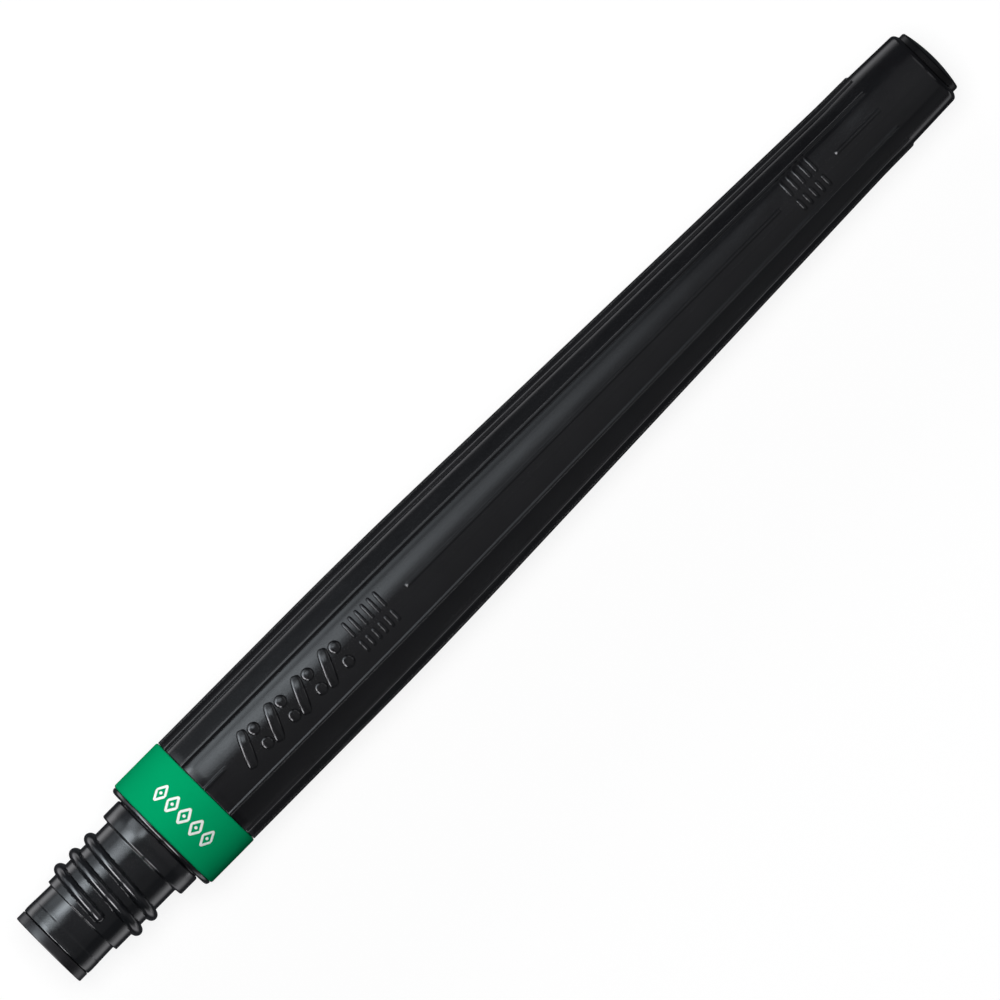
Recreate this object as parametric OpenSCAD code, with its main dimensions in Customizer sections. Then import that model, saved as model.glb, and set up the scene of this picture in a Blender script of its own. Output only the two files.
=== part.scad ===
// Ink refill for a brush pen, with a squeeze barrel. It lies on its side.
// The origin is the centre of the mouth, +X runs to the tail, and +Z is up.
// The side with the raised marks faces up. All sizes are in millimetres.

/* [Mouth plug] */
// Length of the plug's rim in front of the neck
rim_l = 1.0; // [0.8:0.1:1.4]
// Radius of the plug's rim
rim_r = 4.08; // [3.9:0.02:4.1]
// Radius of the socket for the brush head's feed pipe
socket_r = 1.6; // [1.4:0.05:1.8]
// Depth of that socket
socket_l = 3.5; // [3:0.1:4]
// Length of the plug's skirt inside the neck
skirt_l = 8.0; // [7:0.5:9]

/* [Seal ball] */
// Radius of the ball
ball_r = 1.25; // [1.1:0.05:1.3]
// Distance from the mouth to the ball's centre
ball_x = 5.2; // [5:0.1:5.8]

/* [Neck] */
// Radius of the plain spigot that seals in the brush head
spigot_r = 4.1; // [4.1:0.01:4.14]
// Distance from the mouth to the step behind the spigot
spigot_end_x = 4.45; // [4.3:0.05:4.6]
// Radius of the neck under the thread
core_r = 4.4; // [4.35:0.05:4.5]
// Radius of the neck's bore
neck_bore_r = 3.0; // [2.8:0.05:3.1]
// Outer radius of the thread's crest
crest_r = 5.02; // [4.95:0.01:5.05]
// Distance between neighbouring turns
thread_pitch = 1.955; // [1.9:0.005:2]
// Number of turns
thread_turns = 2.45; // [2:0.05:2.6]
// Width of the thread where it meets the neck
thread_w = 1.05; // [1:0.05:1.2]
// Distance from the mouth to the thread where it crosses the top
thread_x = 5.62; // [5.6:0.02:5.7]
// Turn of the thread's front end past the top, in degrees
thread_start = 14; // [0:1:20]
// Distance from the mouth to the collar
collar_x = 12.16; // [12:0.02:12.3]
// Length of the collar
collar_l = 2.21; // [2.1:0.01:2.3]
// Radius of the collar
collar_r = 5.07; // [5.03:0.01:5.1]
// Radius at the bottom of the notch behind the collar
notch_r = 4.8; // [4.7:0.05:4.9]
// Radius of the flange that holds the colour ring
flange_r = 6.15; // [6.1:0.01:6.2]
// Length of the sleeve inside the barrel
sleeve_l = 6.5; // [6:0.5:8]

/* [Colour ring] */
// Distance from the mouth to the ring
ring_x = 14.92; // [14.88:0.01:15]
// Length of the ring
ring_l = 5.62; // [5.5:0.01:5.7]
// Outer radius of the ring
ring_r = 6.3; // [6.25:0.01:6.35]
// Wall thickness of the ring
ring_wall = 0.53; // [0.5:0.01:0.56]

/* [Barrel] */
// Radius of the barrel between its ribs, behind the ring
barrel_r = 6.14; // [6.1:0.01:6.18]
// Distance from the mouth to where the barrel starts to taper
taper_x = 36; // [34:1:38]
// Length over which the taper comes in
taper_blend = 18; // [14:1:20]
// Fall of the radius per millimetre of length
taper_slope = 0.0303; // [0.029:0.0001:0.031]
// Distance from the mouth to the barrel's tail face
tail_x = 114.4; // [113:0.1:116]
// Rounding of the tail edge
tail_round = 0.6; // [0.4:0.1:0.7]
// Wall thickness
wall = 1.1; // [1:0.05:1.1]

/* [Ribs and marks] */
// Number of ribs
rib_count = 12; // [8:1:16]
// Width of a rib
rib_w = 0.4; // [0.3:0.05:0.5]
// Height of a rib above the barrel
rib_h = 0.08; // [0.06:0.01:0.1]
// Distance from the mouth to the tail end of the ribs
rib_end_x = 108.3; // [107:0.1:109]
// Height of the raised marks above the barrel
mark_h = 0.18; // [0.12:0.01:0.2]

/* [Tail plug] */
// Radius of the plug's domed head
head_r = 3.52; // [3.4:0.02:3.56]
// Height of the head above the tail face
head_h = 1.0; // [0.9:0.05:1.1]
// Height of the head's straight side above the tail face
head_side = 0.59; // [0.5:0.01:0.65]
// Length of the plug's stem inside the barrel
stem_l = 6.0; // [5:0.5:7]
// Radius of the stem
stem_r = 2.8; // [2.6:0.05:2.85]

/* [Hidden] */
$fn = 96;

fit_gap = 0.02;                          // radial gap between pieces pushed together
ball_bore_r = ball_r + fit_gap;          // sealing bore of the mouth plug
notch_x = collar_x + collar_l;           // front of the notch
flange_x = notch_x + 0.14;               // front of the flange
edge_bevel = 0.1;                        // bevel on the neck's small edges
collar_bevel = 0.2;                      // bevel on the collar's edges
lead_in = 0.3;                           // bevel on ends that go into a bore
lip_x = rim_l + fit_gap;                 // front of the neck, behind the plug's rim
flange_bevel = 0.28;                     // bevel on the flange's front edge
neck_end_x = ring_x + sleeve_l;          // tank end of the neck's sleeve
seat_r = ring_r - ring_wall - fit_gap;   // barrel's seat under the ring
barrel_bore_r = barrel_r - wall;         // tank at its wide end
sleeve_r = barrel_bore_r - fit_gap;      // neck's sleeve inside the barrel
shoulder_x = ring_x + ring_l + fit_gap;  // barrel's shoulder behind the ring
ring_bevel = 0.18;                       // bevel on the ring's edges
counterbore_l = 0.5;                     // depth of the recess for the tail plug's head
bore_step_x = tail_x - 6.6;              // where the tank narrows to the tail plug's bore
bore_step_l = 0.4;                       // length of that cone
taper_skip = 1.5;                        // first part of the taper, drawn as one facet
mark_sink = 0.3;                         // depth of ribs and marks inside the barrel's wall
panel_x = [23.2, 47.1, 95.3, 102.9];     // front and rear ends of the two panels free of the top rib
bar_x = 26.0;                            // first slanted bar
bar_pitch = 3.5;                         // from one slanted bar to the next
bar_size = [1.1, 3.9];                   // width and length of a slanted bar
bar_slant = 24;                          // lean of a slanted bar, in degrees
bar_count = 4;
dot_r = 0.6;                             // radius of a disc between the bars
dot_off = 0.95;                          // discs lie this far to each side of the top line
tick_x = [40.3, 97.2];                   // first tick of each panel's row of ticks
tick_count = [6, 5];                     // ticks in each row
tick_pitch = 0.8;                        // from one tick to the next
tick_w = 0.36;                           // width of a tick
tick_rows = [[-1.15, 1.9], [1.0, 1.4]];  // middle and length of the ticks in each row
stem_wall = 0.9;                         // wall of the tail plug's hollow stem
thread_sink = 0.08;                      // depth of the thread's rounded foot inside the neck
thread_root = 0.5;                       // depth of the thread strip's base inside the neck
nose_turn = 25;                          // turn over which the thread rises at its ends

// Radius of the barrel between its ribs, at x
function body_r(x) =
    x < taper_x ? barrel_r
    : x < taper_x + taper_blend
        ? barrel_r - taper_slope / (2 * taper_blend) * pow(x - taper_x, 2)
        : barrel_r - taper_slope * (x - taper_x - taper_blend / 2);

// Outline points (radius, x) from x1 to x2 at a height above the barrel
function body_line(x1, x2, height, steps = 14) =
    [for (i = [0 : steps])
        let (x = x1 + (x2 - x1) * i / steps)
        [body_r(x) + height, x]];

// Points of a rounded edge, a quarter circle about (r, x)
function round_edge(r, x, size, steps = 6) =
    [for (i = [0 : steps])
        let (turn = 90 * i / steps)
        [r + size * cos(turn), x + size * sin(turn)]];

// Lay a piece that was drawn along +Z down along +X, with its +X side up
module lay_down() {
    rotate([0, 90, 0])
        rotate([0, 0, 180])
            children();
}

// Solid of revolution from an outline of (radius, x) points
module revolve(points) {
    lay_down()
        rotate_extrude($fn = 96)
            polygon(points);
}

// Round hole along the axis
module bore(r, x1, x2) {
    lay_down()
        translate([0, 0, x1])
            cylinder(r = r, h = x2 - x1);
}

// Thin skin that follows the barrel from x1 to x2, from inside its wall to a height above it
module skin(x1, x2, height) {
    revolve(concat(body_line(x1, x2, height), body_line(x2, x1, -mark_sink)));
}

// Block along the barrel at an angle round it, to cut a rib or a mark from a skin
module slab(x1, x2, angle, width) {
    lay_down()
        rotate([0, 0, angle])
            translate([0, -width / 2, x1])
                cube([ring_r + 1, width, x2 - x1]);
}

// Ribs. The top rib leaves two panels free for the raised marks
module ribs() {
    top_rib = [[shoulder_x, panel_x[0]], [panel_x[1], panel_x[2]], [panel_x[3], rib_end_x]];
    intersection() {
        skin(shoulder_x, rib_end_x, rib_h);
        union() {
            for (i = [1 : rib_count - 1])
                slab(shoulder_x - 1, rib_end_x + 1, 360 * i / rib_count, rib_w);
            for (part = top_rib)
                slab(part[0], part[1], 0, rib_w);
        }
    }
}

// Upright block over the barrel, to cut a mark from a skin. off is the way to the lower side
module post(x, off, size, slant = 0) {
    translate([x, -off, 0])
        rotate([0, 0, slant])
            translate([-size[0] / 2, -size[1] / 2, 0])
                cube([size[0], size[1], ring_r + 1]);
}

// Raised marks: slanted bars with discs between them, and ticks
module marks() {
    intersection() {
        skin(panel_x[0], panel_x[3], mark_h);
        union() {
            for (i = [0 : bar_count - 1])
                post(bar_x + bar_pitch * i, 0, bar_size, bar_slant);
            for (i = [0 : bar_count - 1])
                for (side = [1, -1])
                    translate([bar_x + bar_pitch * (i + 0.5), side * dot_off, 0])
                        cylinder(r = dot_r, h = ring_r + 1, $fn = 32);
            for (row = [0, 1])
                for (i = [0 : tick_count[row] - 1])
                    for (line = tick_rows)
                        post(tick_x[row] + tick_pitch * i, line[0], [tick_w, line[1]]);
        }
    }
}

module barrel() {
    tail_r = body_r(tail_x);
    color("#141518")
    difference() {
        union() {
            revolve(concat(
                [[0, ring_x], [seat_r, ring_x], [seat_r, shoulder_x]],
                body_line(shoulder_x, taper_x, 0, 1),
                body_line(taper_x + taper_skip, taper_x + taper_blend, 0, 11),
                round_edge(tail_r - tail_round, tail_x - tail_round, tail_round),
                [[0, tail_x]]
            ));
            ribs();
            marks();
        }
        revolve(concat(
            [[0, ring_x - 1], [barrel_bore_r, ring_x - 1], [barrel_bore_r, taper_x]],
            body_line(taper_x + taper_skip, taper_x + taper_blend, -wall, 11),
            [[body_r(bore_step_x) - wall, bore_step_x]],
            [[stem_r + fit_gap, bore_step_x + bore_step_l]],
            [[stem_r + fit_gap, tail_x + 1], [0, tail_x + 1]]
        ));
        bore(head_r + fit_gap, tail_x - counterbore_l, tail_x + 1);
    }
}

// One point of the thread's rounded section: s runs 0 to 1 across it. Its foot is sunk in the neck
function thread_point(turn, s, scale) =
    let (
        foot_r = core_r - thread_sink - 0.2 * (1 - scale),
        radius = foot_r + (crest_r - core_r + thread_sink) * scale * sin(180 * s),
        along = thread_x - thread_pitch * turn / 360 + thread_w * (s - 0.5)
    )
    [radius * cos(turn), radius * sin(turn), along];

// Height of the thread at a turn: it rises from the neck at its ends
function thread_scale(turn, first, last) =
    let (end = min(first - turn, turn - last) / nose_turn)
    end >= 1 ? 1 : sin(90 * max(end, 0.02));

// Left-hand thread, as one closed strip with its foot inside the neck
module thread() {
    first = thread_start;
    last = thread_start - 360 * thread_turns;
    steps = 90;
    across = 6;
    n = across + 3;
    root_r = core_r - thread_root;
    rings = [for (i = [0 : steps])
        let (
            turn = first + (last - first) * i / steps,
            scale = thread_scale(turn, first, last),
            centre = thread_x - thread_pitch * turn / 360
        )
        concat(
            [for (j = [0 : across]) thread_point(turn, j / across, scale)],
            [for (side = [0.5, -0.5])
                [root_r * cos(turn), root_r * sin(turn), centre + side * thread_w]]
        )];
    lay_down()
        polyhedron(
            points = [for (ring = rings) for (p = ring) p],
            faces = concat(
                [[for (j = [0 : n - 1]) j]],
                [for (i = [0 : steps - 1]) for (j = [0 : n - 1])
                    let (k = (j + 1) % n)
                    [i * n + j, (i + 1) * n + j, (i + 1) * n + k, i * n + k]],
                [[for (j = [n - 1 : -1 : 0]) steps * n + j]]
            ),
            convexity = 6
        );
}

module neck_fitting() {
    color("#1b1e22")
    difference() {
        union() {
            revolve(concat(
                [[0, lip_x], [spigot_r - edge_bevel, lip_x]],
                [[spigot_r, lip_x + edge_bevel], [spigot_r, spigot_end_x]],
                [[core_r - edge_bevel, spigot_end_x], [core_r, spigot_end_x + edge_bevel]],
                [[core_r, collar_x - edge_bevel], [core_r + edge_bevel, collar_x]],
                [[collar_r - collar_bevel, collar_x], [collar_r, collar_x + collar_bevel]],
                [[collar_r, notch_x - collar_bevel], [notch_r, notch_x], [notch_r, flange_x]],
                [[flange_r - flange_bevel, flange_x], [flange_r, flange_x + flange_bevel]],
                [[flange_r, ring_x - fit_gap], [sleeve_r, ring_x - fit_gap]],
                [[sleeve_r, neck_end_x - lead_in], [sleeve_r - lead_in, neck_end_x]],
                [[0, neck_end_x]]
            ));
            thread();
        }
        bore(neck_bore_r, 0, neck_end_x + 1);
    }
}

module colour_ring() {
    inner_r = ring_r - ring_wall;
    color("#00a35b")
    revolve([
        [inner_r, ring_x],
        [ring_r - ring_bevel, ring_x],
        [ring_r, ring_x + ring_bevel],
        [ring_r, ring_x + ring_l - ring_bevel],
        [ring_r - ring_bevel, ring_x + ring_l],
        [inner_r, ring_x + ring_l]
    ]);
}

module mouth_plug() {
    skirt_r = neck_bore_r - fit_gap;
    skirt_end_x = rim_l + skirt_l;
    color("#232528")
    difference() {
        revolve([
            [0, 0],
            [rim_r - edge_bevel, 0],
            [rim_r, edge_bevel],
            [rim_r, rim_l],
            [skirt_r, rim_l],
            [skirt_r, skirt_end_x - lead_in],
            [skirt_r - lead_in, skirt_end_x],
            [0, skirt_end_x]
        ]);
        bore(socket_r, -1, socket_l);
        bore(ball_bore_r, socket_l - 1, skirt_end_x + 1);
    }
}

module seal_ball() {
    color("#c9ccd0")
    translate([ball_x, 0, 0])
        sphere(r = ball_r, $fn = 48);
}

// Domed head with a stem that is hollow from the tank's side
module tail_plug() {
    head_x = tail_x - counterbore_l + fit_gap;
    edge_x = tail_x + head_side;
    dome_h = tail_x + head_h - edge_x;
    dome_r = (head_r * head_r + dome_h * dome_h) / (2 * dome_h);
    stem_x = head_x - stem_l;
    half_turn = asin(head_r / dome_r);
    color("#17191c")
    difference() {
        revolve(concat(
            [[0, stem_x], [stem_r - lead_in, stem_x], [stem_r, stem_x + lead_in], [stem_r, head_x]],
            [[head_r, head_x]],
            [for (i = [0 : 8])
                let (turn = half_turn * (1 - i / 8))
                [dome_r * sin(turn), tail_x + head_h - dome_r * (1 - cos(turn))]]
        ));
        bore(stem_r - stem_wall, stem_x - 1, head_x - stem_wall);
    }
}

barrel();
neck_fitting();
colour_ring();
mouth_plug();
seal_ball();
tail_plug();
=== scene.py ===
"""Looks of an ink refill for a brush pen, in metres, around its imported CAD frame.

The refill lies along +X with its mouth at the origin and its raised marks up.
A turn about its axis is an angle from +Z towards -Y, so it grows to the lower
right of the view. Sizes named here are in millimetres unless they say otherwise.
"""
import math
import bpy
from mathutils import Matrix, Vector


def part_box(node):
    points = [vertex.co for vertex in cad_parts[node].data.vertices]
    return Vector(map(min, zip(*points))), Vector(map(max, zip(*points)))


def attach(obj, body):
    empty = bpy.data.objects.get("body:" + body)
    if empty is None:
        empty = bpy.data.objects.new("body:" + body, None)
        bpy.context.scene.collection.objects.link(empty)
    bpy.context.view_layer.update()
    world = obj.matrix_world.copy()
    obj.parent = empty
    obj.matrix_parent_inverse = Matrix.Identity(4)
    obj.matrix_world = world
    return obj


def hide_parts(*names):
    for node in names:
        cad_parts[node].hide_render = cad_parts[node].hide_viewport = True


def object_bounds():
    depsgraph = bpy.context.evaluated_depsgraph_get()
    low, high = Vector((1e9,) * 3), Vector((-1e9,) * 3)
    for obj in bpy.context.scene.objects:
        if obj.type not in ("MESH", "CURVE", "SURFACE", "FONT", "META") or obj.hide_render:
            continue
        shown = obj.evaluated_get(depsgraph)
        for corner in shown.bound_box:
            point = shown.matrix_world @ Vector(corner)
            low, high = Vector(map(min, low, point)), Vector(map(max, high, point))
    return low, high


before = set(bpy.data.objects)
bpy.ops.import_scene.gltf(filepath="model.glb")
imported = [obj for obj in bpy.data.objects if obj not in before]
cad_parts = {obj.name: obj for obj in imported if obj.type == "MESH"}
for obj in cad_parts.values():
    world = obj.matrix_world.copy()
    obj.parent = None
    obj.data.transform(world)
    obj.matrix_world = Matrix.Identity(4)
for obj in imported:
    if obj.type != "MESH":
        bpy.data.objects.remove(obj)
cad_low, cad_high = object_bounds()
MM = 0.001


# ---------------------------------------------------------------- sizes from the frame

def node_box(node):
    """A node's box in millimetres, as (low, high)."""
    low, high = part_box(node)
    return Vector(low) / MM, Vector(high) / MM


PLUG_LOW, PLUG_HIGH = node_box("mouth_plug")
NECK_LOW, NECK_HIGH = node_box("neck_fitting")
RING_LOW, RING_HIGH = node_box("colour_ring")
_, BARREL_HIGH = node_box("barrel")
TAIL_LOW, TAIL_HIGH = node_box("tail_plug")

RIM_R = PLUG_HIGH.y + 0.01
FLANGE_R = NECK_HIGH.y
RING_R = RING_HIGH.y
RING_X1, RING_X2 = RING_LOW.x, RING_HIGH.x
TAIL_X = BARREL_HIGH.x
TAIL_R = TAIL_HIGH.y
TOP_X = TAIL_HIGH.x

# Barrel, as in the CAD source
BARREL_R = 6.14
WALL = 1.1
TAPER_X = 36.0
TAPER_BLEND = 18.0
TAPER_SLOPE = 0.0303
TAIL_ROUND = 0.6
SEAT_R = 5.75
RECESS_DEPTH = 0.5
STEM_BORE_L = 6.6
RIB_COUNT = 12
RIB_END_X = 108.3
TOP_RIB = [(RING_X2, 23.2), (47.1, 95.3), (102.9, RIB_END_X)]

# The barrel's relief, finer than in the CAD. The ribs' shift, tops and feet, the valleys' ends and
# the panels' corners are in degrees round the barrel
RIB_H = 0.14
RIB_SHIFT = -1.6
SHIFTED_HALF = (-165, 15)
RIB_TOP = 0.6
RIB_FOOT = 2.2
VALLEY_RIBS = (-60, -30)
VALLEY_H = 0.12
VALLEY_END = 10.0
VALLEY_FADE = 5.0
BODY_UNDER = 0.035
PANEL_DROP = 0.105
PANEL_CORNER = 2.0
ROUND_TAIL = (RIB_END_X - 4.5, RIB_END_X + 0.8)
TAIL_RISE = 0.05
PARTING_TURN = 8.5
PARTING_H = 0.012
PARTING_HALF_W = 0.16
SHOULDER_GAP = 0.03

# Height of the raised marks, more than in the CAD
MARK_H = 0.26

# Neck, as in the CAD source
SPIGOT_R = 4.1
CORE_R = 4.4
CREST_R = 5.02
COLLAR_R = 5.07
NECK_BORE_R = 3.0
SLEEVE_R = 5.02
STEP_X = 4.45
COLLAR_X = 12.16
NOTCH_X = 14.37
PITCH = 1.955
THREAD_START = 14.0
THREAD_TURNS = 2.45

# The neck's finer shapes. The thread crosses the top a little further forward than in the CAD
PLUG_LINE_X = 2.5
THREAD_X = 5.56
THREAD_HALF_W = 0.58
NOTCH_R = 4.82
SLEEVE_END_R = 4.8

# Ring and plugs, as in the CAD source, but for the side of the tail plug's head, which is 0.01 higher
RING_WALL = 0.53
RIM_L = 1.0
STEM_R = 2.8
STEM_WALL = 0.9
HEAD_SIDE = 0.6
SOCKET_R = 1.6
SOCKET_L = 3.5
BALL_BORE_R = 1.27


# ---------------------------------------------------------------- mesh helpers

def smoothstep(low, high, value):
    """0 up to low, 1 from high on, and a smooth rise between them."""
    t = min(max((value - low) / (high - low), 0.0), 1.0)
    return t * t * (3 - 2 * t)


def wrapped(angle):
    """An angle in degrees, brought to -180..180."""
    return (angle + 180) % 360 - 180


def rounded(corners, steps=5):
    """A path of (x, r) through corners (x, r, fillet), with an arc at each corner that has one."""
    path = []
    for i, (x, r, fillet) in enumerate(corners):
        here = Vector((x, r))
        if fillet == 0 or i in (0, len(corners) - 1):
            path.append((x, r))
            continue
        back = (Vector(corners[i - 1][:2]) - here).normalized()
        ahead = (Vector(corners[i + 1][:2]) - here).normalized()
        middle = (back + ahead).normalized()
        half = math.acos(max(-1.0, min(1.0, back.dot(middle))))
        centre = here + middle * (fillet / math.sin(half))
        sweep = math.pi / 2 - half
        turning = math.copysign(1, back.x * ahead.y - back.y * ahead.x)
        for k in range(steps + 1):
            swing = Matrix.Rotation(turning * sweep * (1 - 2 * k / steps), 2)
            path.append(tuple(centre - (swing @ middle) * fillet))
    return path


def divided(path, step):
    """The same path with no stretch longer than step."""
    dense = [path[0]]
    for (x1, r1), (x2, r2) in zip(path, path[1:]):
        n = max(1, math.ceil(math.hypot(x2 - x1, r2 - r1) / step))
        dense += [(x1 + (x2 - x1) * k / n, r1 + (r2 - r1) * k / n) for k in range(1, n + 1)]
    return dense


def on_axis(x, r, turn):
    """The point at x along the refill, r from its axis, at a turn in degrees."""
    a = math.radians(turn)
    return Vector((x, -r * math.sin(a), r * math.cos(a))) * MM


def make_mesh(name, verts, faces, wear=None):
    """A smooth-shaded mesh object with edges over 35 degrees left sharp."""
    mesh = bpy.data.meshes.new(name)
    mesh.from_pydata(verts, [], faces)
    mesh.validate()
    if wear is not None:
        mesh.attributes.new("wear", "FLOAT", "POINT").data.foreach_set("value", wear)
    mesh.shade_smooth()
    mesh.set_sharp_from_angle(angle=math.radians(35))
    obj = bpy.data.objects.new(name, mesh)
    bpy.context.collection.objects.link(obj)
    return obj


def spin(name, path, turns, relief=None, closed=False):
    """A surface of revolution through a path of (x, r). relief(x, r, turn) raises it, in mm.

    A closed path makes a ring-shaped solid. An open one starts and ends on the axis.
    """
    verts, faces, wear, rows = [], [], [], []
    for x, r in path:
        if r < 1e-6:
            rows.append([len(verts)] * len(turns))
            verts.append(on_axis(x, 0, 0))
            wear.append(0.0)
            continue
        row = []
        for turn in turns:
            lift = relief(x, r, turn) if relief else 0.0
            row.append(len(verts))
            verts.append(on_axis(x, r + lift, turn))
            wear.append(min(max(lift / RIB_H, 0.0), 1.0))
        rows.append(row)
    if closed:
        rows.append(rows[0])
    n = len(turns)
    for low, high in zip(rows, rows[1:]):
        for j in range(n):
            k = (j + 1) % n
            corners = [low[j], low[k], high[k], high[j]]
            kept = [c for i, c in enumerate(corners) if c != corners[i - 1]]
            if len(kept) > 2:
                faces.append(kept)
    return make_mesh(name, verts, faces, wear)


def even_turns(count):
    """Turns spread evenly once round."""
    return [360 * i / count for i in range(count)]


# ---------------------------------------------------------------- materials

def nodes_of(material):
    """A new material's node tree and its shader."""
    material.use_nodes = True
    tree = material.node_tree
    return tree, tree.nodes["Principled BSDF"]


def noise(tree, scale, detail, stretch=(1, 1, 1)):
    """Noise whose features are about 1/scale metres across, on the object's own coordinates."""
    place = tree.nodes.new("ShaderNodeTexCoord")
    mapping = tree.nodes.new("ShaderNodeMapping")
    mapping.inputs["Scale"].default_value = stretch
    tex = tree.nodes.new("ShaderNodeTexNoise")
    tex.inputs["Scale"].default_value = scale
    tex.inputs["Detail"].default_value = detail
    tree.links.new(place.outputs["Object"], mapping.inputs["Vector"])
    tree.links.new(mapping.outputs["Vector"], tex.inputs["Vector"])
    return tex.outputs["Fac"]


def ramp(tree, value, low, high, from_min=0.3, from_max=0.7):
    """A value from noise, spread over low to high."""
    node = tree.nodes.new("ShaderNodeMapRange")
    node.inputs["From Min"].default_value = from_min
    node.inputs["From Max"].default_value = from_max
    node.inputs["To Min"].default_value = low
    node.inputs["To Max"].default_value = high
    tree.links.new(value, node.inputs["Value"])
    return node.outputs["Result"]


def math_node(tree, operation, a, b):
    """The output of a Math node. a and b are numbers or sockets."""
    node = tree.nodes.new("ShaderNodeMath")
    node.operation = operation
    for socket, value in zip(node.inputs, (a, b)):
        if isinstance(value, (int, float)):
            socket.default_value = value
        else:
            tree.links.new(value, socket)
    return node.outputs["Value"]


def plastic(name, colour, worn, roughness, grain_height=0.004, scratch_height=0.003,
            wear=True, ior=1.5, specular=0.5):
    """Moulded plastic: mottled colour, uneven gloss, fine grain, drawn scratches and rubbed edges.

    The heights are in millimetres.
    """
    material = bpy.data.materials.new(name)
    tree, shader = nodes_of(material)
    link = tree.links.new
    cloud = noise(tree, 350, 4)
    grain = noise(tree, 9000, 2)
    smear = noise(tree, 900, 5, (0.25, 1, 1))
    scratch = noise(tree, 2600, 3, (0.03, 1.6, 1.6))

    mottle = tree.nodes.new("ShaderNodeMix")
    mottle.data_type = "RGBA"
    mottle.inputs["A"].default_value = (*colour, 1)
    mottle.inputs["B"].default_value = (*worn, 1)
    amount = ramp(tree, cloud, 0.0, 0.35)
    if wear:
        attribute = tree.nodes.new("ShaderNodeAttribute")
        attribute.attribute_name = "wear"
        rubbed = math_node(tree, "MULTIPLY", attribute.outputs["Fac"], ramp(tree, smear, 0.1, 0.7))
        amount = math_node(tree, "ADD", amount, rubbed)
    link(amount, mottle.inputs["Factor"])
    link(mottle.outputs["Result"], shader.inputs["Base Color"])

    gloss = ramp(tree, smear, roughness - 0.045, roughness + 0.06)
    gloss = math_node(tree, "ADD", gloss, ramp(tree, grain, -0.015, 0.02))
    link(gloss, shader.inputs["Roughness"])

    height = math_node(tree, "MULTIPLY", grain, grain_height)
    height = math_node(tree, "ADD", height, math_node(tree, "MULTIPLY", scratch, scratch_height))
    bump = tree.nodes.new("ShaderNodeBump")
    bump.inputs["Distance"].default_value = MM
    bump.inputs["Strength"].default_value = 1.0
    link(height, bump.inputs["Height"])
    link(bump.outputs["Normal"], shader.inputs["Normal"])
    shader.inputs["IOR"].default_value = ior
    shader.inputs["Specular IOR Level"].default_value = specular
    return material


def print_ink(name):
    """White printing ink, slightly uneven where it lies thin."""
    material = bpy.data.materials.new(name)
    tree, shader = nodes_of(material)
    thin = tree.nodes.new("ShaderNodeMix")
    thin.data_type = "RGBA"
    thin.inputs["A"].default_value = (0.93, 0.96, 0.93, 1)
    thin.inputs["B"].default_value = (0.7, 0.88, 0.76, 1)
    tree.links.new(ramp(tree, noise(tree, 5000, 4), 0.0, 0.5, 0.4, 0.8), thin.inputs["Factor"])
    tree.links.new(thin.outputs["Result"], shader.inputs["Base Color"])
    tree.links.new(ramp(tree, noise(tree, 3000, 2), 0.4, 0.55), shader.inputs["Roughness"])
    return material


def steel(name):
    """Polished steel, with faint stains and uneven gloss."""
    material = bpy.data.materials.new(name)
    tree, shader = nodes_of(material)
    shader.inputs["Metallic"].default_value = 1.0
    tint = tree.nodes.new("ShaderNodeMix")
    tint.data_type = "RGBA"
    tint.inputs["A"].default_value = (0.62, 0.63, 0.65, 1)
    tint.inputs["B"].default_value = (0.5, 0.5, 0.5, 1)
    tree.links.new(noise(tree, 1500, 3), tint.inputs["Factor"])
    tree.links.new(tint.outputs["Result"], shader.inputs["Base Color"])
    tree.links.new(ramp(tree, noise(tree, 4000, 3), 0.08, 0.2), shader.inputs["Roughness"])
    return material


barrel_plastic = plastic("barrel_plastic", (0.0042, 0.0042, 0.0050), (0.0085, 0.0088, 0.0100), 0.15)
neck_plastic = plastic("neck_plastic", (0.0050, 0.0055, 0.0066), (0.010, 0.011, 0.013), 0.14, ior=1.6)
plug_plastic = plastic("plug_plastic", (0.0048, 0.0042, 0.0055), (0.009, 0.009, 0.011), 0.3,
                       grain_height=0.010, scratch_height=0.0)
tail_plastic = plastic("tail_plastic", (0.004, 0.004, 0.0045), (0.007, 0.007, 0.0075), 0.3,
                       specular=0.2)
ring_plastic = plastic("ring_plastic", (0.0008, 0.365, 0.138), (0.0012, 0.395, 0.155), 0.5,
                       grain_height=0.002, scratch_height=0.0, wear=False, specular=0.0)
ring_ink = print_ink("ring_ink")
ball_steel = steel("ball_steel")


# ---------------------------------------------------------------- barrel

def body_r(x):
    """Radius of the barrel between its ribs."""
    if x < TAPER_X:
        return BARREL_R
    if x < TAPER_X + TAPER_BLEND:
        return BARREL_R - TAPER_SLOPE / (2 * TAPER_BLEND) * (x - TAPER_X) ** 2
    return BARREL_R - TAPER_SLOPE * (x - TAPER_X - TAPER_BLEND / 2)


def stretch_of(x, low, high, ease=0.25):
    """1 between low and high, easing to 0 over ease outside."""
    return smoothstep(low - ease, low, x) * (1 - smoothstep(high, high + ease, x))


def hump(distance, half_width):
    """A rounded ridge: 1 at its middle, 0 past its foot."""
    u = min(abs(distance) / half_width, 1.0)
    return (1 - u * u) ** 1.2


def rib_shift(turn):
    """How far the ribs near a turn stand from an even spacing. Only those of one half do."""
    first, last = SHIFTED_HALF
    return RIB_SHIFT if first < wrapped(turn) < last else 0


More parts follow.
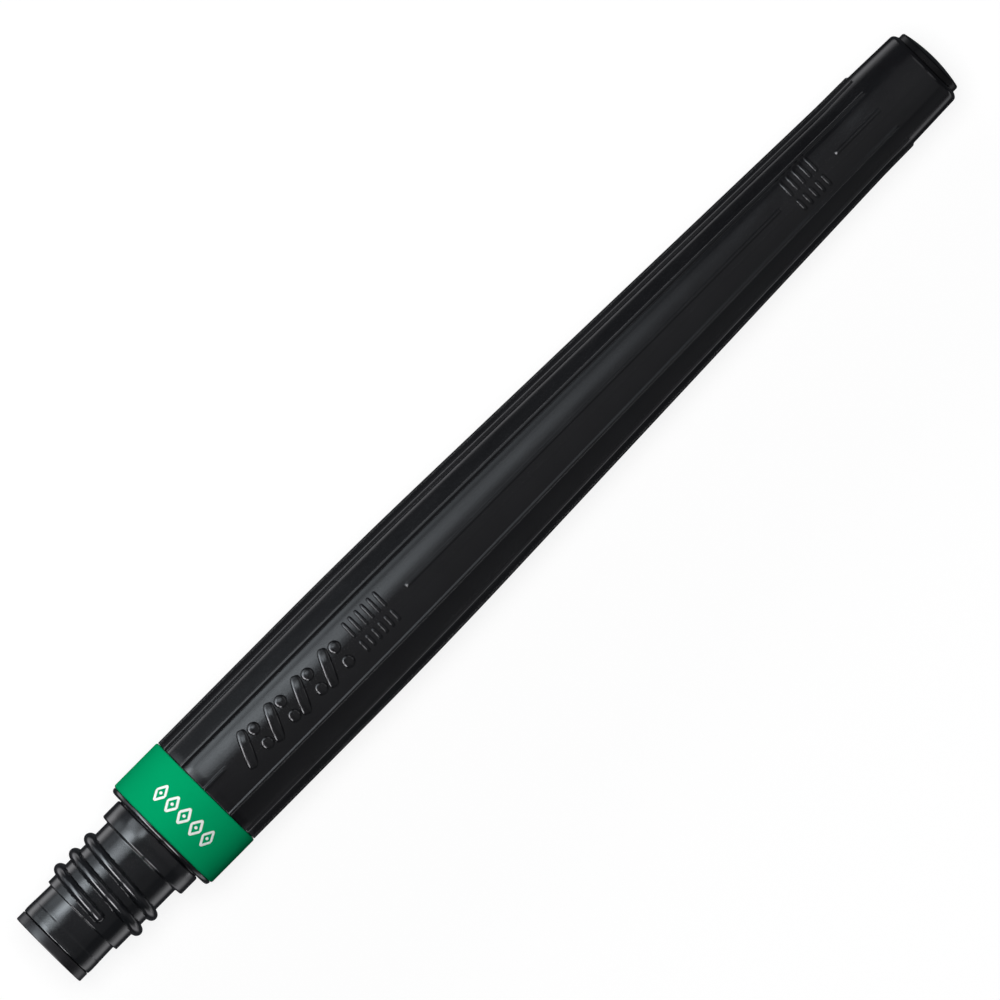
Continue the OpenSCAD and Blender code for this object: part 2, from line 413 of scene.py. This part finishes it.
def panel_relief(x, turn):
    """How far the flattened panels between the ribs lie under the round body, as a negative lift.

    The panels are arcs of twice the barrel's radius that meet in rounded corners under the ribs.
    Behind the ribs the body is round and a little fuller.
    """
    turn -= rib_shift(turn)
    half = 180 / RIB_COUNT
    off = abs((turn % (2 * half)) - half)
    bend = half - PANEL_CORNER
    slope = 2 * bend / half ** 2
    if off < bend:
        drop = 1 - (off / half) ** 2
    else:
        past = off - bend
        drop = 1 - (bend / half) ** 2 - slope * past * (1 - past / (2 * PANEL_CORNER))
    round_tail = smoothstep(*ROUND_TAIL, x)
    under = BODY_UNDER + PANEL_DROP * body_r(x) / BARREL_R * drop
    return TAIL_RISE * round_tail - under * (1 - round_tail)


def valley(rib_turn, off):
    """Depth of the shallow valley off degrees past a rib. Only two ribs have one, on their lower side."""
    if wrapped(rib_turn) not in VALLEY_RIBS or not RIB_TOP < off < VALLEY_END:
        return 0.0
    past = max(off - RIB_FOOT, 0) / (VALLEY_END - RIB_FOOT)
    return VALLEY_H * smoothstep(RIB_TOP, RIB_FOOT, off) * (1 - past) ** 2


def barrel_relief(x, r, turn):
    """Panels, ribs, valleys and parting lines on the outside of the barrel, behind the ring."""
    skin = 0.2
    if r < body_r(x) - skin or x < RING_X2:
        return 0.0
    spacing = 360 / RIB_COUNT
    grid_turn = turn - rib_shift(turn)
    nearest = round(grid_turn / spacing) * spacing
    if nearest % 360 == 0:
        present = max(stretch_of(x, low, high) for low, high in TOP_RIB)
    else:
        present = stretch_of(x, RING_X2, RIB_END_X)
    off = wrapped(grid_turn - nearest)
    ridge = RIB_H * (1 - smoothstep(RIB_TOP, RIB_FOOT, abs(off) * r / BARREL_R))
    hollow = valley(nearest, off) * (1 - smoothstep(RIB_END_X - VALLEY_FADE, RIB_END_X, x))
    lift = panel_relief(x, turn) + (ridge - hollow * r / BARREL_R) * present
    for seam in (PARTING_TURN, PARTING_TURN + 180):
        off_seam = math.radians(wrapped(turn - seam)) * r
        lift += PARTING_H * hump(off_seam, PARTING_HALF_W)
    return lift


def barrel_turns():
    """Turns that are close together on the ribs and parting lines and wide on the panels."""
    flank = [RIB_TOP + (RIB_FOOT - RIB_TOP) * k / 8 for k in range(9)]
    rib = [0, 0.3] + flank + [2.5, 2.8, 3.1, 3.5, 4.3]
    turns = set()
    for i in range(RIB_COUNT):
        centre = 360 * i / RIB_COUNT
        centre += rib_shift(centre)
        turns.update(round((centre + s * d) % 360, 3) for d in rib for s in (-1, 1))
        turns.update(round((centre + d) % 360, 3) for d in range(5, 26))
    for seam in (PARTING_TURN, PARTING_TURN + 180):
        turns.update(round(seam + d, 3) for d in (-2, -1.4, -0.7, 0, 0.7, 1.4, 2))
    return sorted(turns)


def build_barrel():
    """The squeeze tube: seat under the ring, ribbed taper, rounded tail with a recess, and bore."""
    bore_r = BARREL_R - WALL
    shoulder_x = RING_X2 + SHOULDER_GAP
    front_x = shoulder_x + 1
    tail_x = TAIL_X - 2.0
    station_gap = 1.2
    station_count = math.ceil((tail_x - front_x) / station_gap)
    seat = rounded([
        (RING_X1, bore_r, 0),
        (RING_X1, SEAT_R, 0.1),
        (shoulder_x, SEAT_R, 0),
        (shoulder_x, BARREL_R, 0.1),
        (front_x, BARREL_R, 0),
    ])
    ends = [x for low, high in TOP_RIB for x in (low, high)]
    stations = {round(front_x + station_gap * k, 3) for k in range(1, station_count)}
    stations.update(round(end + 0.1 * k, 3) for end in ends for k in range(-3, 4))
    middle = [(x, body_r(x)) for x in sorted(stations) if front_x < x < tail_x - 0.2]
    recess_x = TAIL_X - RECESS_DEPTH
    recess_r = TAIL_R + 0.03
    stem_bore_r = STEM_R + 0.02
    step_x = TAIL_X - STEM_BORE_L
    tail = rounded([
        (tail_x, body_r(tail_x), 0),
        (TAIL_X, body_r(TAIL_X), TAIL_ROUND),
        (TAIL_X, recess_r, 0.05),
        (recess_x, recess_r, 0),
        (recess_x, stem_bore_r, 0),
        (step_x + 0.4, stem_bore_r, 0),
        (step_x, body_r(step_x) - WALL, 0),
        (TAPER_X + TAPER_BLEND, body_r(TAPER_X + TAPER_BLEND) - WALL, 0),
        (TAPER_X, bore_r, 0),
    ])
    return spin("barrel_shell", seat + middle + tail, barrel_turns(), barrel_relief, closed=True)


barrel = build_barrel()
barrel.data.materials.append(barrel_plastic)
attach(barrel, "refill")
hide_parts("barrel")


# ---------------------------------------------------------------- neck

def thread_relief(x, r, turn):
    """The left-hand thread, a rounded ridge that ends in a rounded nose at each end."""
    skin = 0.3
    if r < CORE_R - skin or not STEP_X < x < COLLAR_X:
        return 0.0
    best = 0.0
    last = THREAD_START - 360 * THREAD_TURNS
    for lap in range(-1, int(THREAD_TURNS) + 2):
        along = wrapped(turn) - 360 * lap
        on_thread = min(max(along, last), THREAD_START)
        past_end = math.radians(along - on_thread) * CORE_R
        off_crest = x - (THREAD_X - PITCH * on_thread / 360)
        u = math.hypot(off_crest, past_end) / THREAD_HALF_W
        if u < 1:
            best = max(best, (CREST_R - CORE_R) * (1 - u ** 2) ** 0.5)
    return best


def build_neck():
    """Spigot with its faint plug line, thread, collar, notch, flange and the sleeve in the barrel."""
    front_x = NECK_LOW.x
    outside = rounded([
        (front_x, NECK_BORE_R, 0),
        (front_x, SPIGOT_R, 0.16),
        (front_x + 0.5, SPIGOT_R + 0.03, 0.5),
        (PLUG_LINE_X - 0.14, SPIGOT_R + 0.011, 0),
        (PLUG_LINE_X - 0.06, SPIGOT_R + 0.01, 0),
        (PLUG_LINE_X, SPIGOT_R - 0.012, 0),
        (PLUG_LINE_X + 0.06, SPIGOT_R - 0.005, 0),
        (PLUG_LINE_X + 0.14, SPIGOT_R - 0.006, 0),
        (STEP_X - 0.06, SPIGOT_R - 0.05, 0.05),
        (STEP_X, CORE_R, 0.09),
        (COLLAR_X - 0.02, CORE_R, 0.1),
        (COLLAR_X + 0.05, COLLAR_R, 0.2),
        (NOTCH_X - 0.06, COLLAR_R, 0.2),
        (NOTCH_X - 0.02, NOTCH_R, 0.03),
        (NOTCH_X + 0.04, NOTCH_R, 0.03),
        (NOTCH_X + 0.07, FLANGE_R, 0.34),
        (RING_X1 - 0.03, FLANGE_R, 0.03),
        (RING_X1 - 0.02, SLEEVE_R, 0),
        (NECK_HIGH.x, SLEEVE_END_R, 0),
        (NECK_HIGH.x, NECK_BORE_R, 0),
    ])
    zone_end_x = COLLAR_X - 0.05
    thread_zone = divided([p for p in outside if STEP_X < p[0] < zone_end_x], step=0.05)
    before = [p for p in outside if p[0] <= STEP_X]
    after = [p for p in outside if p[0] >= zone_end_x]
    return spin("neck_body", before + thread_zone + after, even_turns(180), thread_relief, closed=True)


neck = build_neck()
neck.data.materials.append(neck_plastic)
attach(neck, "refill")
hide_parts("neck_fitting")


# ---------------------------------------------------------------- plugs and ring

def build_mouth_plug():
    """The stopper: a matt rim in front of the neck, its skirt, and the stepped feed bore."""
    skirt_r = NECK_BORE_R - 0.02
    path = rounded([
        (SOCKET_L, BALL_BORE_R, 0),
        (SOCKET_L, SOCKET_R, 0),
        (0.02, SOCKET_R, 0.12),
        (0.0, RIM_R, 0.11),
        (PLUG_LOW.x + RIM_L - 0.01, RIM_R, 0.06),
        (PLUG_LOW.x + RIM_L, skirt_r, 0),
        (PLUG_HIGH.x - 0.4, skirt_r, 0),
        (PLUG_HIGH.x, skirt_r - 0.3, 0),
        (PLUG_HIGH.x, BALL_BORE_R, 0),
    ])
    return spin("mouth_stopper", path, even_turns(128), closed=True)


def build_ring():
    """The colour ring, a plain band with rounded edges."""
    inner_r = RING_R - RING_WALL
    path = rounded([
        (RING_X1, inner_r, 0),
        (RING_X1, RING_R, 0.2),
        (RING_X2, RING_R, 0.2),
        (RING_X2, inner_r, 0),
    ])
    return spin("ring_band", path, even_turns(180), closed=True)


def build_tail_plug():
    """The domed disc in the tail and its hollow stem."""
    edge_x = TAIL_X + HEAD_SIDE
    dome_steps = 16
    dome_h = TOP_X - edge_x
    dome_r = (TAIL_R ** 2 + dome_h ** 2) / (2 * dome_h)
    reach = math.asin(TAIL_R / dome_r)
    dome = []
    for k in range(1, dome_steps):
        a = reach * (1 - k / dome_steps)
        dome.append((TOP_X - dome_r * (1 - math.cos(a)), dome_r * math.sin(a)))
    hollow_r = STEM_R - STEM_WALL
    hollow_x = TAIL_X - 1.38
    head_x = TAIL_X - RECESS_DEPTH + 0.02
    lead_in = 0.3
    stem = rounded([
        (TAIL_LOW.x, hollow_r, 0),
        (TAIL_LOW.x, STEM_R - lead_in, 0),
        (TAIL_LOW.x + lead_in, STEM_R, 0),
        (head_x, STEM_R, 0),
        (head_x, TAIL_R, 0),
        (edge_x, TAIL_R, 0.25),
        dome[1] + (0,),
    ])
    hollow = [(TOP_X, 0.0), (hollow_x, 0.0), (hollow_x, hollow_r)]
    path = stem + dome[2:] + hollow
    return spin("tail_cap", path + [stem[0]], even_turns(96))


mouth_plug = build_mouth_plug()
mouth_plug.data.materials.append(plug_plastic)
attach(mouth_plug, "refill")
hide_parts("mouth_plug")

ring = build_ring()
ring.data.materials.append(ring_plastic)
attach(ring, "refill")
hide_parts("colour_ring")

tail_plug = build_tail_plug()
tail_plug.data.materials.append(tail_plastic)
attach(tail_plug, "refill")
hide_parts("tail_plug")

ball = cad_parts["seal_ball"]
ball.data.materials.clear()
ball.data.materials.append(ball_steel)
ball.data.shade_smooth()


# ---------------------------------------------------------------- raised and printed marks

def on_barrel(x, across, lift):
    """The point a lift above the barrel, across mm round it from the top."""
    turn = math.degrees(across / body_r(x))
    return on_axis(x, body_r(x) + panel_relief(x, turn) + lift, turn)


def on_ring(x, across, lift):
    """The point a lift above the ring, across mm round it from the top."""
    sink = 0.003
    return on_axis(x, RING_R - sink + lift, math.degrees(across / RING_R))


def mark_mesh(shapes, surface, height, around=80):
    """Verts and faces of pillow-shaped marks on a surface(x, across, lift).

    Each shape is (x, across, outline), outline(angle) giving the distance from the mark's middle
    to its edge in mm. across runs round the surface, to the lower side. A mark is a stack of rows,
    each a share of the outline, from a foot a little under the surface up to its middle.
    """
    verts, faces = [], []
    foot = -0.06
    shares = (1, 1, 0.99, 0.97, 0.94, 0.9, 0.85, 0.78, 0.7, 0.6, 0.45, 0.25)
    for x, across, outline in shapes:
        start = len(verts)
        for row, share in enumerate(shares):
            lift = foot if row == 0 else height * math.sqrt(1 - share ** 3)
            for k in range(around):
                a = 2 * math.pi * k / around
                along = x + outline(a) * share * math.cos(a)
                aside = across + outline(a) * share * math.sin(a)
                verts.append(surface(along, aside, lift))
        for row in range(len(shares) - 1):
            for k in range(around):
                low = start + row * around
                m = (k + 1) % around
                faces.append([low + k, low + m, low + m + around, low + k + around])
        last = start + (len(shares) - 1) * around
        verts.append(surface(x, across, height))
        faces += [[last + k, last + (k + 1) % around, len(verts) - 1] for k in range(around)]
        faces.append(list(range(start, start + around))[::-1])
    return verts, faces


def bar(half_x, half_across, slant=0, power=6):
    """Outline of a bar leaning by slant degrees. The higher the power, the squarer its corners."""
    def outline(a):
        turned = a - math.radians(slant)
        c, s = abs(math.cos(turned)) / half_x, abs(math.sin(turned)) / half_across
        return (c ** power + s ** power) ** (-1 / power)
    return outline


def disc(radius):
    """Outline of a disc."""
    return lambda a: radius


def build_raised_marks():
    """Generic moulded marks: slanted bars with discs between them, and rows of ticks."""
    bar_x, bar_pitch, bar_count = 26.0, 3.5, 4
    disc_r, disc_off = 0.65, 0.95
    tick_groups = ((40.3, 6), (97.2, 5))
    tick_rows = ((-1.15, 1.9), (1.0, 1.4))
    tick_pitch, tick_half_w = 0.8, 0.22
    shapes = []
    for k in range(bar_count):
        shapes.append((bar_x + bar_pitch * k, 0, bar(0.6, 1.95, slant=24, power=4)))
        for side in (-1, 1):
            shapes.append((bar_x + bar_pitch * (k + 0.5), side * disc_off, disc(disc_r)))
    for first_x, count in tick_groups:
        for k in range(count):
            for across, length in tick_rows:
                tick = bar(tick_half_w, length / 2, power=4)
                shapes.append((first_x + tick_pitch * k, across, tick))
    verts, faces = mark_mesh(shapes, on_barrel, MARK_H)
    light_wear = 0.35
    return make_mesh("raised_marks", verts, faces, [light_wear] * len(verts))


def build_ring_print():
    """Generic printed marks round the colour ring: a row of outlined diamonds, each with a dot."""
    middle, half_long, half_wide = 17.6, 0.9, 0.56
    half_stroke, dot_r, pitch, middle_across = 0.125, 0.16, 1.55, 0.2
    slant = math.degrees(math.atan2(half_wide, half_long))
    reach = math.hypot(half_long, half_wide) / 2 + 0.04
    shapes = []
    for k in range(-2, 3):
        across = middle_across + pitch * k
        for end in (-1, 1):
            for side in (-1, 1):
                edge = bar(reach, half_stroke, -end * side * slant)
                shapes.append((middle + end * half_long / 2, across + side * half_wide / 2, edge))
        shapes.append((middle, across, disc(dot_r)))
    verts, faces = mark_mesh(shapes, on_ring, height=0.012, around=40)
    return make_mesh("ring_print", verts, faces)


raised = build_raised_marks()
raised.data.materials.append(barrel_plastic)
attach(raised, "refill")

printed = build_ring_print()
printed.data.materials.append(ring_ink)
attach(printed, "refill")


# ---------------------------------------------------------------- floor, lights and camera, in metres

MIDDLE = Vector(((cad_low.x + cad_high.x) / 2, 0, 0))
SKY = (0.86, 0.94, 1.0)
PALE = (0.97, 0.97, 1.0)


def bare_material(name):
    """A new material without a shader, its node tree and its output."""
    material = bpy.data.materials.new(name)
    material.use_nodes = True
    tree = material.node_tree
    tree.nodes.clear()
    return material, tree, tree.nodes.new("ShaderNodeOutputMaterial")


def emission(name, colour, strength, fade):
    """A light card's material, which lets light through. fade(tree) gives its level at each place."""
    material, tree, out = bare_material(name)
    glow = tree.nodes.new("ShaderNodeEmission")
    glow.inputs["Color"].default_value = (*colour, 1)
    tree.links.new(math_node(tree, "MULTIPLY", fade(tree), strength), glow.inputs["Strength"])
    clear = tree.nodes.new("ShaderNodeBsdfTransparent")
    both = tree.nodes.new("ShaderNodeAddShader")
    tree.links.new(glow.outputs["Emission"], both.inputs[0])
    tree.links.new(clear.outputs["BSDF"], both.inputs[1])
    tree.links.new(both.outputs["Shader"], out.inputs["Surface"])
    return material


def grey_gauze(name, share):
    """A material that lets a share of the light through, for the gauze beside the refill."""
    material, tree, out = bare_material(name)
    clear = tree.nodes.new("ShaderNodeBsdfTransparent")
    clear.inputs["Color"].default_value = (share, share, share, 1)
    tree.links.new(clear.outputs["BSDF"], out.inputs["Surface"])
    return material


def strip(tilt, width, x_low, x_high, distance):
    """Corners of a strip along the refill, in metres. tilt is from straight up towards -Y."""
    a = math.radians(tilt)
    out = Vector((0, -math.sin(a), math.cos(a)))
    aside = Vector((0, math.cos(a), math.sin(a)))
    return [Vector((x, 0, 0)) + out * distance + aside * (side * width / 2)
            for x, side in ((x_low, -1), (x_high, -1), (x_high, 1), (x_low, 1))]


def end_wall(x, y_low, y_high, z_low, z_high):
    """Corners of an upright wall past one end of the refill, in metres."""
    ends = ((y_low, z_low), (y_high, z_low), (y_high, z_high), (y_low, z_high))
    return [Vector((x, y, z)) for y, z in ends]


def low_sheet(side, y_near, y_far, x_low, x_high, z):
    """Corners of a level sheet beside the refill, in metres. side is 1 towards +Y and -1 towards -Y."""
    ends = ((x_low, y_near), (x_low, y_far), (x_high, y_far), (x_high, y_near))
    return [Vector((x, side * y, z)) for x, y in ends]


def card(name, corners, material):
    """A card that shows only in reflections, never to the camera."""
    mesh = bpy.data.meshes.new(name)
    mesh.from_pydata(corners, [], [(0, 1, 2, 3)])
    layer = mesh.uv_layers.new(name="card")
    for loop, uv in enumerate(((0, 0), (1, 0), (1, 1), (0, 1))):
        layer.data[loop].uv = uv
    mesh.materials.append(material)
    obj = bpy.data.objects.new(name, mesh)
    obj.visible_camera = False
    obj.visible_shadow = False
    obj.visible_diffuse = False
    bpy.context.collection.objects.link(obj)


def card_fade(tree, u_points, v_points):
    """A soft-edged level over a card: each list has (place, level) pairs along one side."""
    uv = tree.nodes.new("ShaderNodeTexCoord")
    split = tree.nodes.new("ShaderNodeSeparateXYZ")
    tree.links.new(uv.outputs["UV"], split.inputs["Vector"])
    factors = []
    for axis, points in (("X", u_points), ("Y", v_points)):
        node = tree.nodes.new("ShaderNodeValToRGB")
        node.color_ramp.interpolation = "LINEAR"
        marks = node.color_ramp.elements
        marks[0].position, marks[1].position = 0.0, 1.0
        for mark, (_, level) in ((marks[0], points[0]), (marks[1], points[-1])):
            mark.color = (level, level, level, 1)
        for place, level in points[1:-1]:
            marks.new(place).color = (level, level, level, 1)
        tree.links.new(split.outputs[axis], node.inputs["Fac"])
        factors.append(node.outputs["Color"])
    return math_node(tree, "MULTIPLY", *factors)


def lobe(turn, height, low, centre, high):
    """A soft bump over the surface turns from low to high."""
    if turn < centre:
        return height * smoothstep(low, centre, turn)
    return height * (1 - smoothstep(centre, high, turn))


def across_strip(tilt, width, distance, lobes):
    """Fade points across a strip, worked out from the surface turn that mirrors each place."""
    steps = 30
    points = []
    for k in range(steps + 1):
        aside = math.atan((k / steps - 0.5) * width / distance)
        turn = (tilt - math.degrees(aside)) / 2
        points.append((k / steps, sum(lobe(turn, *shape) for shape in lobes)))
    return points


def along_strip(x_low, x_high, levels):
    """Fade points along a strip. levels has (x, level) pairs."""
    points = [((x - x_low) / (x_high - x_low), level) for x, level in levels]
    return [(0.0, levels[0][1])] + points + [(1.0, levels[-1][1])]


def glow_strip(name, tint, strength, tilt, width, distance, x_levels, lobes):
    """A light card along the refill. x_levels shape it lengthwise and lobes shape it crosswise.

    Each lobe is a height and the low, middle and high turn of the surface that mirrors it. The cards
    stand at distances of their own, because only one of two cards in one plane shows.
    """
    x_low, x_high = -0.14, 0.26
    along = along_strip(x_low, x_high, x_levels)
    across = across_strip(tilt, width, distance, lobes)
    material = emission(name + "_glow", tint, strength, lambda tree: card_fade(tree, along, across))
    card(name + "_card", strip(tilt, width, x_low, x_high, distance), material)


def build_floor():
    """A pale paper sheet that glows a little, so that it stays even. Reflections don't show it."""
    size = 1.6
    z = cad_low.z - 0.02 * MM
    mesh = bpy.data.meshes.new("floor")
    corners = [(MIDDLE.x + sx * size, sy * size, z) for sx, sy in ((-1, -1), (1, -1), (1, 1), (-1, 1))]
    mesh.from_pydata(corners, [], [(0, 1, 2, 3)])
    material = bpy.data.materials.new("floor_paper")
    _, shader = nodes_of(material)
    shader.inputs["Base Color"].default_value = (0.2, 0.2, 0.2, 1)
    shader.inputs["Roughness"].default_value = 0.9
    shader.inputs["Specular IOR Level"].default_value = 0.0
    shader.inputs["Emission Color"].default_value = (1, 1, 1, 1)
    shader.inputs["Emission Strength"].default_value = 0.84
    mesh.materials.append(material)
    floor = bpy.data.objects.new("floor", mesh)
    floor.visible_glossy = False
    floor.visible_diffuse = False
    floor.visible_shadow = False
    bpy.context.collection.objects.link(floor)


def build_strips():
    """Light strips along the refill, mostly from the upper left of the view, with pale sides below.

    The neck and the barrel have strips of their own, which hand over between neck_x and barrel_x.
    """
    neck_x, barrel_x = 0.0125, 0.0165
    glow_strip("neck_key", SKY, 4.1, tilt=-58, width=0.42, distance=0.2,
               x_levels=[(0.003, 1), (0.0085, 0.3), (neck_x, 0.25), (barrel_x, 0)],
               lobes=[(1.5, -36, -23.5, -13.5), (0.28, -54, -42, -8)])
    glow_strip("barrel_key", SKY, 5.4, tilt=-58, width=0.45, distance=0.22,
               x_levels=[(neck_x, 0), (barrel_x, 1), (0.0205, 1), (0.05, 0.38), (0.084, 0.22), (0.104, 0)],
               lobes=[(0.95, -22, -15.5, -10.5), (0.65, -38, -34, -12), (0.06, -56, -42, -30)])
    glow_strip("neck_left", PALE, 0.6, tilt=-112, width=0.2, distance=0.19,
               x_levels=[(0.0075, 1), (0.0095, 0.1), (barrel_x, 0)],
               lobes=[(1.1, -64, -56, -48)])
    glow_strip("left", PALE, 1.25, tilt=-122, width=0.5, distance=0.4,
               x_levels=[(0.03, 1.1), (0.11, 0.9)],
               lobes=[(1, -70, -61.5, -47.5)])
    glow_strip("neck_right", PALE, 0.95, tilt=120, width=0.2, distance=0.21,
               x_levels=[(neck_x, 1), (barrel_x, 0)],
               lobes=[(1.25, 46, 59.5, 70.5)])
    glow_strip("right", PALE, 0.55, tilt=124, width=0.15, distance=0.225,
               x_levels=[(neck_x, 0), (barrel_x, 1), (0.09, 1), (0.11, 1.4)],
               lobes=[(1, 55.5, 62.5, 68)])
    glow_strip("rib_right", PALE, 2.0, tilt=112, width=0.1, distance=0.24,
               x_levels=[(0.0185, 0), (0.022, 1), (0.104, 0.6), (0.107, 0)],
               lobes=[(1, 53, 57, 60.5)])
    glow_strip("dim_right", PALE, 0.12, tilt=90, width=0.45, distance=0.275,
               x_levels=[(neck_x, 0.2), (barrel_x, 1)],
               lobes=[(1, 22, 45, 63)])
    glow_strip("top", PALE, 0.26, tilt=10, width=0.8, distance=0.25,
               x_levels=[(0.0, 0.75), (0.0085, 0.1), (neck_x, 0.1), (0.0175, 1)],
               lobes=[(1, -60, 6, 62)])


def build_gauze():
    """Grey gauze low beside the barrel, which darkens its lower edges."""
    y_near, z = 0.0062, -0.0062
    x_low, x_high = 0.0205, 0.1155
    for name, side, y_far in (("flag_left", 1, 0.0105), ("flag_right", -1, 0.0125)):
        card(name, low_sheet(side, y_near, y_far, x_low, x_high, z), grey_gauze(name, 0.5))


def build_end_lights():
    """Upright light cards high past both ends, which pick out the edges that face them."""
    z_low, z_high = 0.16, 0.5
    even = [(0.0, 1), (1.0, 1)]
    upward = [(0.0, 0), (0.2, 1), (0.6, 0.8), (1.0, 0)]
    for name, x, strength in (("mouth_wall", -0.22, 11.0), ("tail_wall", 0.34, 0.8)):
        material = emission(name + "_glow", PALE, strength, lambda tree: card_fade(tree, even, upward))
        card(name + "_high", end_wall(x, -0.01, 0.27, z_low, z_high), material)
        card(name + "_low", end_wall(x, -0.27, -0.07, z_low, z_high), material)


def build_fills():
    """Two soft lamps for the colours, which reflections don't show."""
    distance = 0.9
    for name, tilt, power in (("high_fill", -5, 6.0), ("low_fill", -75, 3.6)):
        light = bpy.data.lights.new(name, "AREA")
        light.shape = "DISK"
        light.size = 0.5
        light.energy = power
        obj = bpy.data.objects.new(name, light)
        a = math.radians(tilt)
        obj.location = MIDDLE + Vector((0, -math.sin(a), math.cos(a))) * distance
        obj.rotation_euler = (MIDDLE - obj.location).to_track_quat("-Z", "Y").to_euler()
        obj.visible_glossy = False
        obj.visible_camera = False
        bpy.context.collection.objects.link(obj)


def build_world():
    """A dim room, which the camera sees as pale as the floor."""
    world = bpy.data.worlds.new("room")
    bpy.context.scene.world = world
    world.use_nodes = True
    tree = world.node_tree
    room = tree.nodes["Background"]
    room.inputs["Color"].default_value = (0.85, 0.9, 1.0, 1)
    room.inputs["Strength"].default_value = 0.05
    pale = tree.nodes.new("ShaderNodeBackground")
    pale.inputs["Color"].default_value = (1, 1, 1, 1)
    path = tree.nodes.new("ShaderNodeLightPath")
    mix = tree.nodes.new("ShaderNodeMixShader")
    tree.links.new(path.outputs["Is Camera Ray"], mix.inputs["Fac"])
    tree.links.new(room.outputs["Background"], mix.inputs[1])
    tree.links.new(pale.outputs["Background"], mix.inputs[2])
    tree.links.new(mix.outputs["Shader"], tree.nodes["World Output"].inputs["Surface"])


def build_camera():
    """Straight above, so far off that the refill is seen square from the side, its mouth lower left."""
    view_width = 91.75 * MM
    distance = 3.0
    roll = -45.24
    aim = MIDDLE + Vector((0.814, -0.364, 0)) * MM
    camera = bpy.data.cameras.new("camera")
    camera.sensor_width = 36
    camera.lens = camera.sensor_width * distance / view_width
    camera.clip_end = 10
    obj = bpy.data.objects.new("camera", camera)
    obj.location = aim + Vector((0, 0, distance))
    obj.rotation_euler = (0, 0, math.radians(roll))
    bpy.context.collection.objects.link(obj)
    bpy.context.scene.camera = obj


build_floor()
build_strips()
build_gauze()
build_end_lights()
build_fills()
build_world()
build_camera()
bpy.context.scene.view_settings.view_transform = "Standard"
